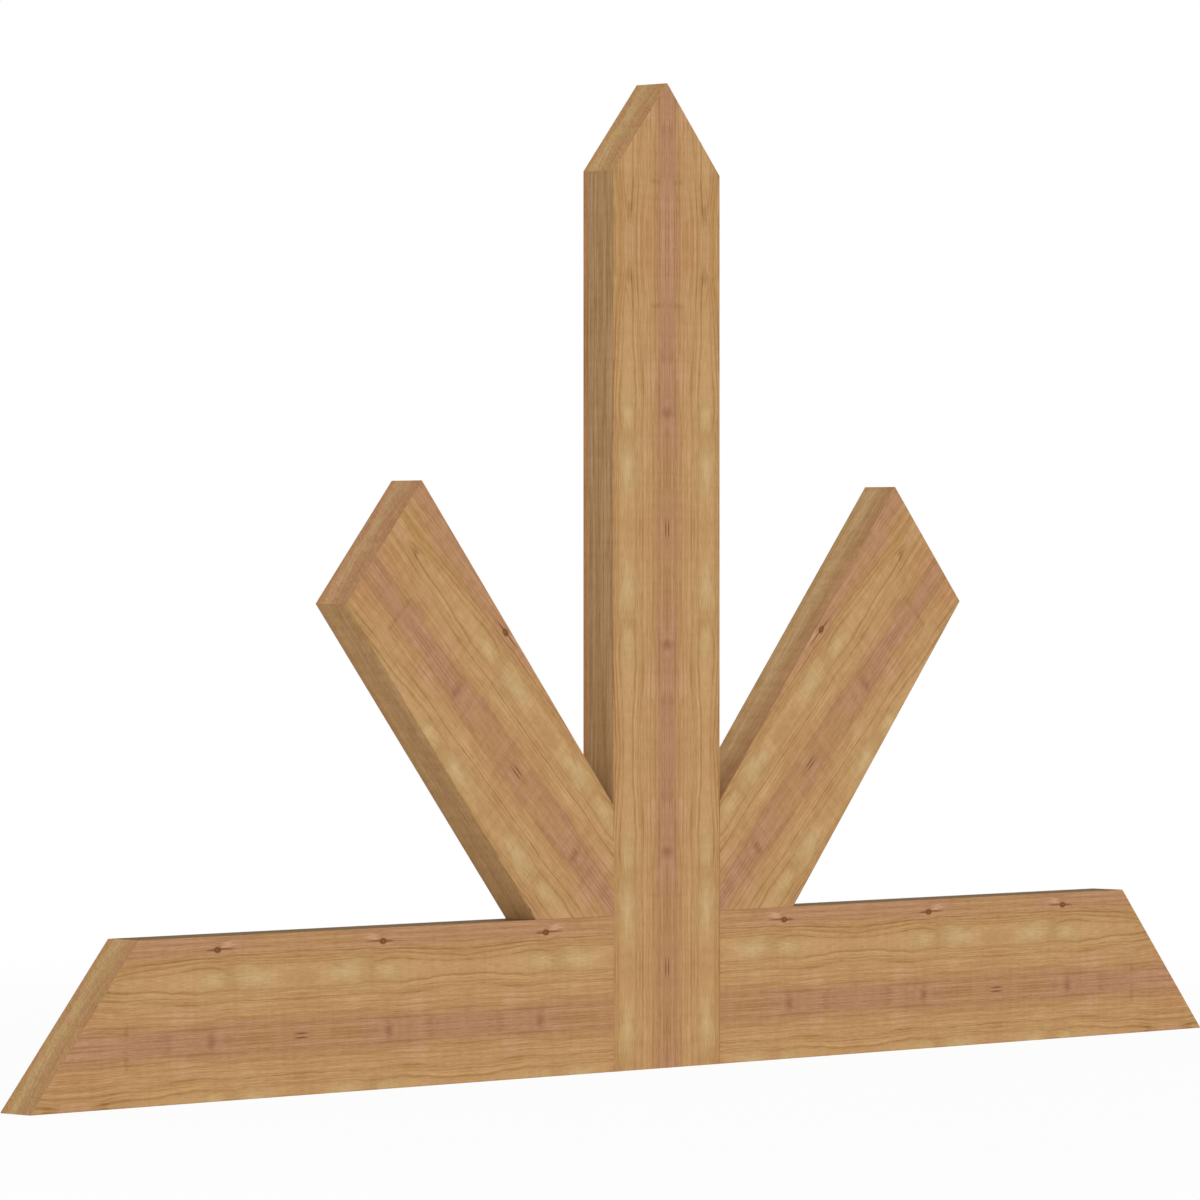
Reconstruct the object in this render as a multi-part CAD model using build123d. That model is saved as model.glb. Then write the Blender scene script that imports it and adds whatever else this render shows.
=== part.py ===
from build123d import *
import os
from math import atan2, cos, degrees, hypot, pi, sin

# A timber gable bracket: a flat frame of planed boards that stands in the peak of a gable, under the
# roof's rake. A king post runs from the bottom edge to the apex. A chord arm butts against each side
# of it at the bottom, and a strut rises out of each inside corner. Every free end is sawn to the rake,
# so that all six sawn ends lie on the two slopes of the roof.
# +Z is up, +X is to the right seen from the front, and the front faces -Y. The origin is the middle of
# the bottom edge, half way through the boards. All sizes are in millimetres.
INCH = 25.4

# Driving dimensions
bracket_width = 60 * INCH    # tip to tip along the bottom
bracket_height = 35 * INCH   # bottom edge to apex, which makes a pitch of 14 in 12
board_thickness = 1.5 * INCH
post_width = 5.5 * INCH
chord_height = 5.5 * INCH
strut_width = 5.5 * INCH
arris_radius = 0.8           # how far the planed boards' long corners are eased
saw_allowance = 25.0         # spare length of a blank past its sawn end

# The rake, which is the line of the roof from the apex down to each tip
half_width = bracket_width / 2
rake_slope = bracket_height / half_width
rake_angle = atan2(bracket_height, half_width)
post_side = post_width / 2
shoulder_height = bracket_height - rake_slope * post_side
chord_top_end = half_width - chord_height / rake_slope


def rake_plane(side):
    """The plane of one slope of the roof, facing out. side is 1 on the right and -1 on the left."""
    return Plane(origin=(0, 0, bracket_height), z_dir=(side * sin(rake_angle), 0, cos(rake_angle)))


def planed_board(start, angle, length, width):
    """A blank with eased long corners. Its centre line leaves start, an (x, z) point, at an angle from +X."""
    blank = Box(length, width, board_thickness, align=(Align.MIN, Align.CENTER, Align.CENTER))
    blank = fillet(blank.edges().filter_by(Axis.X), arris_radius)
    grain = Plane(origin=(start[0], 0, start[1]), x_dir=(cos(angle), 0, sin(angle)), z_dir=(0, -1, 0))
    return grain * blank


def sawn(board, cut):
    """What is left of a board on the inner side of a saw cut."""
    return split(board, bisect_by=cut, keep=Keep.BOTTOM)


def make_king_post():
    """The upright board, square at the bottom and cut to a point by both slopes of the roof."""
    post = planed_board((0, 0), pi / 2, bracket_height + saw_allowance, post_width)
    post = sawn(post, rake_plane(1))
    return sawn(post, rake_plane(-1))


def make_chord_arm():
    """The right arm of the bottom chord, square against the post and cut to the rake at its tip."""
    length = half_width - post_side + saw_allowance
    arm = planed_board((post_side, chord_height / 2), 0, length, chord_height)
    return sawn(arm, rake_plane(1))


def make_strut():
    """The right strut, whose pointed foot seats on the post's side and on the chord's top."""
    # The centre line starts half a board's width out of the inside corner, on the line that halves it,
    # and aims at the middle of the open rake between the post's shoulder and the chord's sawn end.
    seat_offset = strut_width / 2 * sin(pi / 4)
    seat = (post_side + seat_offset, chord_height + seat_offset)
    rake_middle = ((post_side + chord_top_end) / 2, (shoulder_height + chord_height) / 2)
    run, rise = rake_middle[0] - seat[0], rake_middle[1] - seat[1]
    angle = atan2(rise, run)
    overrun = strut_width    # the blank reaches this far past the seat and past the rake
    start = (seat[0] - overrun * cos(angle), seat[1] - overrun * sin(angle))
    length = hypot(run, rise) + 2 * overrun
    strut = planed_board(start, angle, length, strut_width)
    strut = sawn(strut, rake_plane(1))
    strut = sawn(strut, Plane(origin=(post_side, 0, 0), z_dir=(-1, 0, 0)))
    return sawn(strut, Plane(origin=(0, 0, chord_height), z_dir=(0, 0, -1)))


def make_parts():
    """Every board of the bracket, by name. The left boards are the right ones mirrored."""
    chord_arm, strut = make_chord_arm(), make_strut()
    return {
        "king_post": make_king_post(),
        "chord_arm_left": mirror(chord_arm, about=Plane.YZ),
        "chord_arm_right": chord_arm,
        "strut_left": mirror(strut, about=Plane.YZ),
        "strut_right": strut,
    }


os.makedirs("parts", exist_ok=True)
print(f"pitch {degrees(rake_angle):.2f} degrees, shoulder at {shoulder_height:.1f} mm")
for name, board in make_parts().items():
    board.label = name
    export_step(board, f"parts/{name}.step")
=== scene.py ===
"""A timber gable bracket: five planed boards of red cedar, modelled and finished around the frame."""
import logging
from collections.abc import Callable, Iterable
from dataclasses import dataclass, field, replace
from enum import Enum
from math import atan, atan2, ceil, cos, pi, radians, sin

import bmesh
import bpy
import numpy as np
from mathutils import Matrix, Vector


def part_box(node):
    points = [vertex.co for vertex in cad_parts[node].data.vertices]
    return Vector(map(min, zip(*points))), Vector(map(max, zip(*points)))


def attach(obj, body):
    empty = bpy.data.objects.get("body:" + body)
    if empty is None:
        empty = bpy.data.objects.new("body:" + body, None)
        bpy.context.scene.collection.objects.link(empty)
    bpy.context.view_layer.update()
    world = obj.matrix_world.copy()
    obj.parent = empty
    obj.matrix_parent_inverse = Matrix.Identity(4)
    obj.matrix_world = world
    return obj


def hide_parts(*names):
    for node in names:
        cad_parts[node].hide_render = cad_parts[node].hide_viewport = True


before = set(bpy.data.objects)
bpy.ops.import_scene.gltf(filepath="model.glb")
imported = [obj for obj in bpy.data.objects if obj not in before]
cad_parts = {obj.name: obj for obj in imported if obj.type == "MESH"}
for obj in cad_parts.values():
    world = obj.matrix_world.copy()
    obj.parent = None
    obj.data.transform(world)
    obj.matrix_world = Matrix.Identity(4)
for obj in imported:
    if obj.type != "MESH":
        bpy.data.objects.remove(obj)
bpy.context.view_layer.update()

LOG = logging.getLogger("gable_bracket")
MM = 0.001
PARALLEL = 0.9999    # the cosine past which two directions count as one
TOUCH = 0.01 * MM    # the distance within which a point lies on a plane
WHITE = (1, 1, 1, 1)

Point = tuple[float, float]
Triple = tuple[float, float, float]
Tone = tuple[int, int, int]             # a colour as it is seen, 0 to 255 a channel
Stops = tuple[tuple[float, Tone], ...]  # places in millimetres, each with its tone
Socket = bpy.types.NodeSocket


def linear(tone: Tone) -> Triple:
    """Turns a tone into the linear light that shaders work in, by the sRGB curve."""
    shares = [value / 255 for value in tone]
    return tuple(share / 12.92 if share <= 0.04045 else ((share + 0.055) / 1.055) ** 2.4 for share in shares)


class Side(Enum):
    """Which half of the bracket a board is in, seen from the front."""
    LEFT = -1
    RIGHT = 1


class Surface(Enum):
    """The two kinds of surface a board has, in the order of its material slots."""
    PLANED = 0
    SAWN = 1


@dataclass(frozen=True)
class BracketSizes:
    """The bracket's driving sizes in metres, read from the frame's boxes.

    Attributes:
        half_width: From the middle of the post to a tip of the chord.
        height: From the bottom edge to the apex.
        thickness: Of every board.
        post_side: From the middle of the post to its side.
        chord_height: Of the bottom chord.
        front: Where the front face lies along Y.
    """
    half_width: float
    height: float
    thickness: float
    post_side: float
    chord_height: float
    front: float

    @classmethod
    def from_frame(cls) -> "BracketSizes":
        """Reads the sizes from the boxes of the post and of one chord arm.

        Returns:
            The sizes.
        """
        post_low, post_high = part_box("king_post")
        arm_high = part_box("chord_arm_right")[1]
        return cls(arm_high.x, post_high.z, post_high.y - post_low.y, post_high.x, arm_high.z, post_low.y)

    @property
    def rake_slope(self) -> float:
        """Rise over run of the roof line."""
        return self.height / self.half_width

    @property
    def rake_angle(self) -> float:
        """The roof line's angle from level, in radians."""
        return atan(self.rake_slope)

    @property
    def board_width(self) -> float:
        """The width of the post and of the struts, which are cut from the same stock."""
        return 2 * self.post_side

    @property
    def shoulder_height(self) -> float:
        """Where the roof line meets the post's side."""
        return self.height - self.rake_slope * self.post_side

    @property
    def chord_top_end(self) -> float:
        """Where the roof line meets the chord's top."""
        return self.half_width - self.chord_height / self.rake_slope

    @property
    def strut_seat(self) -> Vector:
        """The point of the right strut's centre line over the inside corner of post and chord."""
        offset = self.board_width / 2 * sin(pi / 4)
        return Vector((self.post_side + offset, 0, self.chord_height + offset))

    @property
    def strut_aim(self) -> Vector:
        """The middle of the open stretch of the right roof line, which the right strut aims at."""
        return Vector(((self.post_side + self.chord_top_end) / 2, 0,
                       (self.shoulder_height + self.chord_height) / 2))


@dataclass(frozen=True)
class SawCut:
    """A plane that a board is sawn off at.

    Attributes:
        point: Any point of the plane.
        outward: The plane's normal, which points at the waste.
    """
    point: Vector
    outward: Vector

    def beyond(self, places: np.ndarray) -> np.ndarray:
        """How far places lie beyond the cut, given one row of x, y, z for each."""
        return (places - np.array(self.point)) @ np.array(self.outward)

    @classmethod
    def rake(cls, sizes: BracketSizes, side: Side) -> "SawCut":
        """The cut along one slope of the roof, which passes through the apex."""
        angle = sizes.rake_angle
        return cls(Vector((0, 0, sizes.height)), Vector((side.value * sin(angle), 0, cos(angle))))


@dataclass(frozen=True)
class HeartLine:
    """Where the grain lies on a board: the line that its figure is mirrored about.

    Attributes:
        start: The point where the figure starts, as (x, z) in metres on the right half.
        angle: The direction of the grain from +X, in radians.
    """
    start: Point
    angle: float

    def board_axes(self, places: np.ndarray, front: float) -> tuple[np.ndarray, np.ndarray, np.ndarray]:
        """Measures places along and across the grain.

        Args:
            places: One row of x, y, z in metres for each place.
            front: Where the front face lies along Y.

        Returns:
            The distances along the grain, across it and behind the front face, in millimetres.
        """
        run = np.abs(places[:, 0]) - self.start[0]
        rise = places[:, 2] - self.start[1]
        along = run * cos(self.angle) + rise * sin(self.angle)
        across = rise * cos(self.angle) - run * sin(self.angle)
        return along / MM, across / MM, (places[:, 1] - front) / MM


@dataclass(frozen=True)
class Course:
    """One dark growth line of the figure, drawn in millimetres.

    Attributes:
        line: The line's points, along the grain and out from the heart line.
        strength: How dark it is, from 0 to 1, at points along the grain.
        half_width: From its darkest to where it has faded out.
    """
    line: tuple[Point, ...]
    strength: tuple[Point, ...]
    half_width: float


@dataclass(frozen=True)
class Patch:
    """A soft patch of another tone.

    Attributes:
        centre: Along the grain and out from the heart line, in millimetres.
        reach: Half its length and half its width.
        tone: The colour that it turns the wood to.
        strength: How far it does so, from 0 to 1.
        core: The share of its reach, from the edge in, over which it fades.
    """
    centre: Point
    reach: Point
    tone: Tone
    strength: float
    core: float = 0.7


@dataclass(frozen=True)
class GrainFigure:
    """The figure of the sawn cedar, which repeats along each board and mirrors about its heart line.

    It opens like a cathedral arch from its tip towards the far end. Lengths are in millimetres.

    Attributes:
        first: The figure's lowest place along the grain, past the arch's tip.
        repeat: How far the figure runs before it turns back.
        turn: Where a second, reversed figure starts along the board.
        half_board: How far out from the heart line the figure goes before it turns back.
        lean: How far the figure shifts along the grain for each millimetre of depth.
        spread: How far it shifts outwards for each millimetre of depth.
        arch_inner: The side of the arch that faces the heart line.
        arch_outer: Its other side.
        courses: The dark growth lines.
        patches: The soft patches of lighter and darker wood.
        smudges: The small dark patches, which go with the bands as they wander.
        knot: The crack on the heart line, and the knot with its streaks, which keep their shape.
        bands: The tones of the wood, from the heart line out.
    """
    first: float = -59.0
    repeat: float = 198.0
    turn: float = 455.0
    half_board: float = 88.5
    lean: float = 2.6
    spread: float = 0.5
    arch_inner: tuple[Point, ...] = (
        (-59, 48), (-37, 48), (-20, 46), (0, 44.5), (20, 45), (40, 44), (62, 42.5), (80, 41), (100, 42),
        (120, 42.5), (135, 41), (150, 41), (198, 41.5))
    arch_outer: tuple[Point, ...] = (
        (-59, 50), (-37, 50), (-22, 53), (0, 56.5), (30, 58), (50, 59), (75, 62), (90, 62.5), (108, 61),
        (122, 64.5), (140, 63.5), (198, 63))
    courses: tuple[Course, ...] = (
        Course(((60, 10), (95, 10.6), (125, 11.5), (160, 11), (198, 11)),
               ((-59, 0.1), (45, 0.15), (60, 0.45), (95, 0.5), (110, 0.4), (198, 0.45)), 2.2),
        Course(((60, 15.2), (78, 15.4), (92, 15.8)), ((56, 0), (64, 0.45), (84, 0.45), (92, 0)), 1.0),
        Course(((-59, 15.5), (0, 15.5), (50, 14.5)), ((-59, 0.1), (-20, 0.25), (45, 0.35), (60, 0)), 1.4),
        Course(((-59, 1.5), (100, 1.6), (198, 1.5)),
               ((-59, 0.1), (55, 0.1), (64, 0.4), (88, 0.3), (100, 0.1), (110, 0.35), (198, 0.35)), 1.4),
        Course(((-59, 34), (0, 31.5), (50, 31.8), (80, 31.2), (100, 32.4), (120, 33.2), (150, 32.6),
                (198, 32.2)),
               ((-59, 0.3), (40, 0.35), (55, 0.75), (70, 1), (90, 0.9), (120, 1), (198, 1)), 1.2),
        Course(((110, 35.6), (137, 36.2), (198, 36.4)), ((112, 0), (125, 0.25), (140, 0.5), (198, 0.5)), 1.0),
        Course(((-59, 40.5), (-20, 38.8), (0, 38), (30, 38), (60, 36.5)),
               ((-59, 0.55), (-20, 0.6), (30, 0.45), (60, 0.35), (75, 0)), 1.6),
        Course(((-59, 49), (-37, 47), (-20, 45.8), (0, 44.8), (20, 45), (40, 44), (46, 42.6), (62, 42.5),
                (80, 40.8), (100, 42), (120, 42.6), (135, 41), (150, 41), (198, 41.5)),
               ((-45, 0), (-30, 0.45), (-10, 0.85), (38, 0.85), (50, 0.6), (62, 0.8), (82, 0.5), (110, 0.42),
                (150, 0.38), (198, 0.5)), 2.0),
        Course(((-37, 51), (-22, 53.5), (-8, 51.5)), ((-40, 0), (-30, 0.55), (-12, 0.5), (-2, 0)), 1.3),
        Course(((-22, 54), (0, 56.5), (30, 58), (50, 59), (75, 61.6), (90, 62.2), (108, 61)),
               ((-25, 0), (0, 0.4), (45, 0.6), (62, 0.9), (84, 0.9), (104, 0.6), (114, 0)), 1.2),
        Course(((108, 63), (122, 64.4), (140, 63.6), (198, 62.8)), ((112, 0), (126, 0.6), (198, 0.6)), 1.2),
        Course(((0, 61), (20, 63), (45, 64.5), (80, 66.3), (110, 67), (125, 68.6), (198, 68)),
               ((-10, 0), (8, 0.4), (40, 0.8), (75, 0.75), (110, 0.6), (150, 0.6), (198, 0.6)), 1.2),
        Course(((-59, 64), (-5, 66), (20, 67), (50, 68.5), (75, 69.8), (100, 70), (120, 71.9), (150, 71.4),
                (198, 72.6)),
               ((-59, 0.4), (0, 0.6), (20, 0.95), (60, 0.95), (90, 0.85), (125, 1), (175, 1),
                (198, 0.6)), 1.2),
        Course(((0, 73.5), (30, 75), (60, 76), (88, 76.8), (100, 77), (120, 77.6), (145, 78.4), (198, 79)),
               ((0, 0.45), (60, 0.35), (84, 0.5), (92, 1), (114, 1), (124, 0.6), (145, 0.4),
                (198, 0.1)), 1.3),
    )
    patches: tuple[Patch, ...] = (
        Patch((91, 51.5), (27, 13.5), (196, 163, 114), 0.75, 0.85),
        Patch((96, 51.5), (20, 9), (204, 173, 123), 0.5, 0.9),
        Patch((140, 52), (40, 18), (193, 160, 114), 0.7, 0.9),
        Patch((148, 51.5), (28, 8.5), (206, 177, 131), 0.7, 1.0),
        Patch((133, 60), (22, 7), (194, 161, 110), 0.5, 0.9),
        Patch((111, 55), (5, 11), (184, 147, 96), 0.35),
        Patch((62, 20), (20, 12), (200, 156, 119), 0.5),
        Patch((139.5, 25), (14, 11), (199, 158, 112), 0.5),
        Patch((70, 36), (22, 4), (186, 147, 88), 0.35),
        Patch((36, 52), (58, 7), (196, 152, 108), 0.35),
        Patch((16, 62), (40, 8), (179, 136, 92), 0.4),
        Patch((28, 77), (40, 8), (177, 136, 97), 0.4),
        Patch((188, 50), (26, 11), (183, 141, 94), 0.5),
        Patch((197, 29), (34, 11), (185, 142, 97), 0.4),
        Patch((-28, 60.5), (50, 6), (182, 139, 86), 0.6),
        Patch((-50, 48.5), (20, 5), (196, 149, 116), 0.5),
        Patch((-45, 25), (30, 14), (191, 142, 99), 0.5),
        Patch((25, 22), (22, 4), (194, 151, 106), 0.5),
        Patch((160, 3), (60, 11.5), (182, 140, 97), 0.8),
        Patch((20, 2), (36, 11), (180, 136, 107), 0.25),
        Patch((57, 4), (18, 10), (187, 142, 110), 0.45, 1.0),
        Patch((108, 4), (15, 9), (189, 145, 111), 0.6, 1.0),
        Patch((-45, 10), (28, 4), (174, 129, 95), 0.5),
        Patch((-50, 15.5), (30, 3.5), (192, 147, 108), 0.65),
        Patch((25, 7.5), (30, 3.5), (188, 144, 108), 0.45),
        Patch((90, 80), (14, 6), (190, 147, 112), 0.4),
        Patch((140, 35), (38, 6), (192, 156, 107), 0.4),
        Patch((197, 8), (9, 6), (188, 142, 108), 0.5),
        Patch((170, 83), (54, 13), (186, 145, 98), 0.65),
        Patch((113, 80.8), (10, 5), (206, 163, 133), 0.8),
    )
    smudges: tuple[Patch, ...] = (
        Patch((43.5, 0), (9, 9), (160, 116, 86), 0.45, 1.0),
        Patch((41, 7), (8, 6), (160, 116, 84), 0.4, 1.0),
        Patch((93.5, 0), (8, 12), (144, 100, 73), 0.6, 1.0),
        Patch((-3, 14), (4.5, 11), (156, 114, 72), 0.5, 1.0),
        Patch((-27, 49.5), (10, 4.5), (158, 114, 70), 0.75, 0.8),
        Patch((-34, 49.5), (9, 3), (170, 126, 84), 0.45),
    )
    knot: tuple[Patch, ...] = (
        Patch((198, 1.9), (13, 1.2), (112, 74, 46), 0.9, 0.8),
        Patch((94, 76.9), (9, 1.5), (126, 80, 50), 0.8),
        Patch((110, 77.5), (15, 1.5), (130, 84, 52), 0.75),
        Patch((100.5, 77), (5.8, 3.9), (112, 71, 37), 1.0, 0.6),
        Patch((100.3, 76.9), (2.0, 1.4), (145, 100, 60), 0.75, 0.6),
    )
    bands: Stops = (
        (0, (180, 135, 102)), (5, (181, 137, 104)), (9, (181, 137, 101)), (13, (179, 137, 97)),
        (18, (187, 145, 99)), (25, (191, 150, 105)), (36, (191, 150, 104)), (45, (191, 151, 104)),
        (53, (193, 153, 106)), (61, (188, 147, 99)), (70, (187, 146, 100)), (76, (186, 142, 105)),
        (88.5, (183, 139, 103)))

    @property
    def span(self) -> float:
        """The figure's whole length along the grain."""
        return self.repeat - self.first

    def unfold(self, along: np.ndarray, across: np.ndarray,
               depth: np.ndarray) -> tuple[np.ndarray, np.ndarray]:
        """Finds the place in the figure that shows at a place on a board.

        Args:
            along: Distances along the grain.
            across: Distances across it, from the heart line.
            depth: Distances behind the front face.

        Returns:
            The places along the grain and out from the heart line, within the figure.
        """
        leaning = along + self.lean * depth
        turned = np.abs((leaning - self.repeat) % (2 * self.repeat) - self.repeat)
        reversed_figure = np.abs(leaning - self.turn) + self.first
        spreading = np.abs(across) + self.spread * depth
        outward = np.abs((spreading - self.half_board) % (2 * self.half_board) - self.half_board)
        return np.minimum(turned, reversed_figure), outward

    def ridge(self, along: np.ndarray, outward: np.ndarray) -> np.ndarray:
        """Finds how near places of the figure are to a course, whose hard wood stands proud.

        Args:
            along: Places along the grain, within the figure.
            outward: Places out from the heart line, within the figure.

        Returns:
            A share from 0, between courses, to 1, on a strong one.
        """
        nearest = np.zeros_like(along)
        for course in self.courses:
            centre = np.interp(along, *zip(*course.line))
            strength = np.interp(along, *zip(*course.strength))
            near = np.clip(1 - np.abs(outward - centre) / (2 * course.half_width), 0, 1)
            nearest = np.maximum(nearest, strength * near * near * (3 - 2 * near))
        return nearest


FIGURE = GrainFigure()


class Wire:
    """A number in a node tree. A sum written with it adds the nodes that work the sum out."""

    def __init__(self, bench: "ShaderBench", socket: Socket) -> None:
        """Takes hold of the socket that gives the number."""
        self.bench = bench
        self.socket = socket

    def __add__(self, other: "Number") -> "Wire":
        """Adds a number."""
        return self.bench.math("ADD", self, other)

    def __sub__(self, other: "Number") -> "Wire":
        """Takes a number away."""
        return self.bench.math("SUBTRACT", self, other)

    def __rsub__(self, other: float) -> "Wire":
        """Takes this away from a number."""
        return self.bench.math("SUBTRACT", other, self)

    def __mul__(self, other: "Number") -> "Wire":
        """Multiplies by a number."""
        return self.bench.math("MULTIPLY", self, other)

    def __truediv__(self, other: "Number") -> "Wire":
        """Divides by a number."""
        return self.bench.math("DIVIDE", self, other)

    def __abs__(self) -> "Wire":
        """Drops the sign."""
        return self.bench.math("ABSOLUTE", self)

    def at_least(self, other: "Number") -> "Wire":
        """Takes the higher of two."""
        return self.bench.math("MAXIMUM", self, other)

    def at_most(self, other: "Number") -> "Wire":
        """Takes the lower of two."""
        return self.bench.math("MINIMUM", self, other)

    def folded(self, reach: float) -> "Wire":
        """Runs from 0 to a reach and back, over and over."""
        return self.bench.math("PINGPONG", self, reach)

    def eased(self, low: float, high: float, at_low: float = 0.0, at_high: float = 1.0) -> "Wire":
        """Eases from one value to another while the number goes from low to high.

        Args:
            low: Where the change starts.
            high: Where it ends.
            at_low: The result at and below the start.
            at_high: The result at and above the end.

        Returns:
            The eased value.
        """
        inputs = {"Value": self, "From Min": low, "From Max": high, "To Min": at_low, "To Max": at_high}
        node = self.bench.add("ShaderNodeMapRange", inputs, interpolation_type="SMOOTHSTEP")
        return Wire(self.bench, node.outputs[0])


Number = Wire | float


class ShaderBench:
    """Adds nodes to one tree and links them, with a short method for each kind of node."""

    def __init__(self, tree: bpy.types.NodeTree) -> None:
        """Empties a node tree and starts on it."""
        self.tree = tree
        tree.nodes.clear()

    def add(self, kind: str, inputs: dict[str | int, object], **settings: object) -> bpy.types.Node:
        """Adds one node.

        Args:
            kind: The node's type.
            inputs: What goes into its sockets, by name or number: a wire, another socket or a constant.
            **settings: The node's own properties.

        Returns:
            The node.
        """
        node = self.tree.nodes.new(kind)
        for name, setting in settings.items():
            setattr(node, name, setting)
        for key, value in inputs.items():
            source = value.socket if isinstance(value, Wire) else value
            if isinstance(source, Socket):
                self.tree.links.new(source, node.inputs[key])
            else:
                node.inputs[key].default_value = source
        return node

    def math(self, operation: str, *values: Number) -> Wire:
        """Combines one or two numbers."""
        node = self.add("ShaderNodeMath", dict(enumerate(values)), operation=operation)
        return Wire(self, node.outputs[0])

    def combine(self, x: Number, y: Number, z: Number = 0.0) -> Socket:
        """Makes a vector of three numbers."""
        return self.add("ShaderNodeCombineXYZ", {"X": x, "Y": y, "Z": z}).outputs[0]

    def separate(self, vector: Socket) -> list[Wire]:
        """Splits a vector into its three numbers."""
        node = self.add("ShaderNodeSeparateXYZ", {"Vector": vector})
        return [Wire(self, output) for output in node.outputs]

    def place(self, vector: Socket, origin: Triple, unit: Triple, turn: float = 0) -> Socket:
        """Measures a vector from a new origin, in new units, from an X axis turned about Y."""
        inputs = {"Vector": vector, "Location": origin, "Rotation": (0, -turn, 0), "Scale": unit}
        return self.add("ShaderNodeMapping", inputs, vector_type="TEXTURE").outputs[0]

    def curve(self, share: Wire, points: Iterable[Point]) -> Wire:
        """Reads a drawn curve.

        Args:
            share: The place along the curve, from 0 to 1.
            points: The curve's points, from 0 to 1 both ways.

        Returns:
            The curve's height at that place.
        """
        node = self.add("ShaderNodeFloatCurve", {"Value": share})
        node.mapping.extend = "HORIZONTAL"
        drawn = node.mapping.curves[0]
        drawn.points[0].location, *middle, drawn.points[1].location = points
        for place in middle:
            drawn.points.new(*place)
        for point in drawn.points:
            point.handle_type = "AUTO_CLAMPED"
        node.mapping.update()
        return Wire(self, node.outputs[0])

    def ramp(self, place: Wire, stops: Stops) -> Socket:
        """Reads a colour from a ramp.

        Args:
            place: The place on the ramp.
            stops: The ramp's stops, the first of them at 0.

        Returns:
            The colour at that place.
        """
        whole = stops[-1][0]
        node = self.add("ShaderNodeValToRGB", {"Fac": place / whole})
        elements = node.color_ramp.elements
        while len(elements) < len(stops):
            elements.new(1.0)
        for element, (position, tone) in zip(elements, stops):
            element.position = position / whole
            element.color = (*linear(tone), 1)
        return node.outputs["Color"]

    def noise(self, x: Wire, y: Wire, detail: float, roughness: float) -> Wire:
        """Reads flat noise with features about one unit across, from 0 to 1 with its mean at 0.5."""
        inputs = {"Vector": self.combine(x, y), "Scale": 1.0, "Detail": detail, "Roughness": roughness}
        return Wire(self, self.add("ShaderNodeTexNoise", inputs, noise_dimensions="2D").outputs[0])

    def blend(self, share: Number, base: Socket, top: Socket | Triple, mode: str = "MIX") -> Socket:
        """Lays one colour over another, as far as the share says."""
        # The node's colours are its inputs 6 and 7 and its output 2. The others are for numbers and vectors.
        inputs = {0: share, 6: base, 7: top if isinstance(top, Socket) else (*top, 1)}
        return self.add("ShaderNodeMix", inputs, data_type="RGBA", blend_type=mode).outputs[2]

    def tint(self, share: Number, base: Socket, tint: Triple) -> Socket:
        """Multiplies a colour by a tint, as far as the share says."""
        return self.blend(share, base, tint, "MULTIPLY")

    def patches(self, colour: Socket, place: Socket, patches: Iterable[Patch]) -> Socket:
        """Lays soft patches over a colour.

        Args:
            colour: The colour below.
            place: The place in the figure, along the grain and out from the heart line.
            patches: The patches, in the order they are laid.

        Returns:
            The colour that results.
        """
        for patch in patches:
            near = self.place(place, (*patch.centre, 0), (*patch.reach, 1))
            glow = self.add("ShaderNodeTexGradient", {"Vector": near}, gradient_type="SPHERICAL")
            share = Wire(self, glow.outputs["Fac"]).eased(0, patch.core, 0, patch.strength)
            colour = self.blend(share, colour, linear(patch.tone))
        return colour

    def board_axes(self, heart: HeartLine, front: float) -> list[Wire]:
        """Measures the shaded place on the right half's board, which the left one mirrors.

        Args:
            heart: Where the board's grain lies.
            front: Where the front face lies along Y.

        Returns:
            The distances along the grain, behind the front face and across the grain, in millimetres.
        """
        x, y, z = self.separate(self.add("ShaderNodeTexCoord", {}).outputs["Object"])
        start = (heart.start[0], front, heart.start[1])
        return self.separate(self.place(self.combine(abs(x), y, z), start, (MM, MM, MM), heart.angle))


def new_material(name: str) -> tuple[bpy.types.Material, ShaderBench]:
    """Adds an empty material.

    Args:
        name: Its name.

    Returns:
        The material and the bench for its nodes.
    """
    material = bpy.data.materials.new(name)
    material.use_nodes = True
    return material, ShaderBench(material.node_tree)


@dataclass(frozen=True)
class Wander:
    """A slow, random swing to either side, in millimetres.

    Attributes:
        length: About how far along the grain one swing takes.
        width: How far across it.
        reach: How far the swing goes from one side to the other.
        detail: How many finer swings ride on it.
        roughness: How strong these are.
    """
    length: float
    width: float
    reach: float
    detail: float = 2.0
    roughness: float = 0.5

    def drawn(self, along: Wire, across: Wire) -> Wire:
        """Adds the nodes for it, given the place along and across the grain."""
        level = along.bench.noise(along / self.length, across / self.width, self.detail, self.roughness)
        return (level - 0.5) * self.reach


@dataclass(frozen=True)
class Streaks:
    """Soft, random marks, in millimetres.

    Attributes:
        length: About how long a mark is.
        width: How wide.
        faint: The level of noise at which a mark starts to show.
        full: The level at which it shows in full.
        contrast: How strong it then is.
        detail: How many finer marks make it up.
        roughness: How strong these are.
    """
    length: float
    width: float
    faint: float
    full: float
    contrast: float = 1.0
    detail: float = 2.0
    roughness: float = 0.5

    def level(self, along: Wire, across: Wire) -> Wire:
        """Adds the noise that the marks are cut from, given the place along and across the grain."""
        return along.bench.noise(along / self.length, across / self.width, self.detail, self.roughness)

    def marked(self, level: Wire) -> Wire:
        """Cuts the marks from their noise."""
        return level.eased(self.faint, self.full, 0, self.contrast)

    def drawn(self, along: Wire, across: Wire) -> Wire:
        """Adds all the nodes for the marks, given the place along and across the grain."""
        return self.marked(self.level(along, across))


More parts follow.
